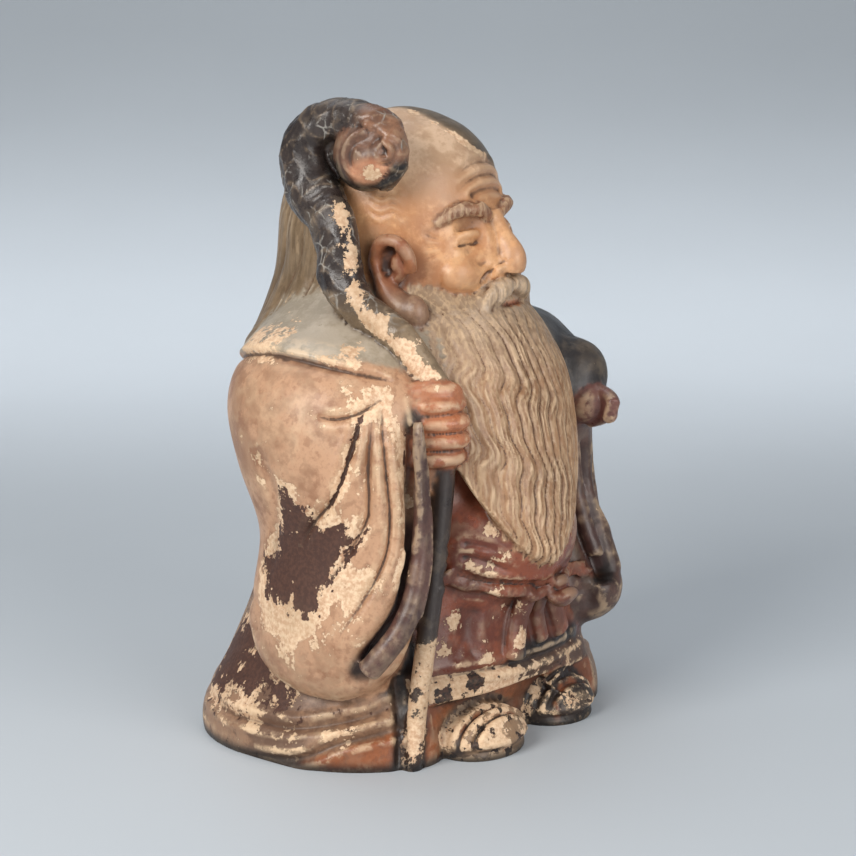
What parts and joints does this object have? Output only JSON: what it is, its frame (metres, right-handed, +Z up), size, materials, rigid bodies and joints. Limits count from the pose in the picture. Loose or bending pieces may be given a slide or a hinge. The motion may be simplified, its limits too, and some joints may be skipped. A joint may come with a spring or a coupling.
{
  "type": "jurojin statue",
  "caption": "Standing bearded sage in a wide-sleeved robe, holding a tall crooked staff in one fist; one moulded and painted pottery figure.",
  "frame": {"origin": "on the flat underside, under the middle of the shoulders", "axes": "+Z up the figure, -Y the way the figure faces, +X towards its left hand"},
  "size_m": [0.1654, 0.1364, 0.23],
  "materials": {
    "painted_clay": "worn matt paint over brown fired clay"
  },
  "bodies": {
    "root": {"statue": "painted_clay"}
  },
  "joints": []
}
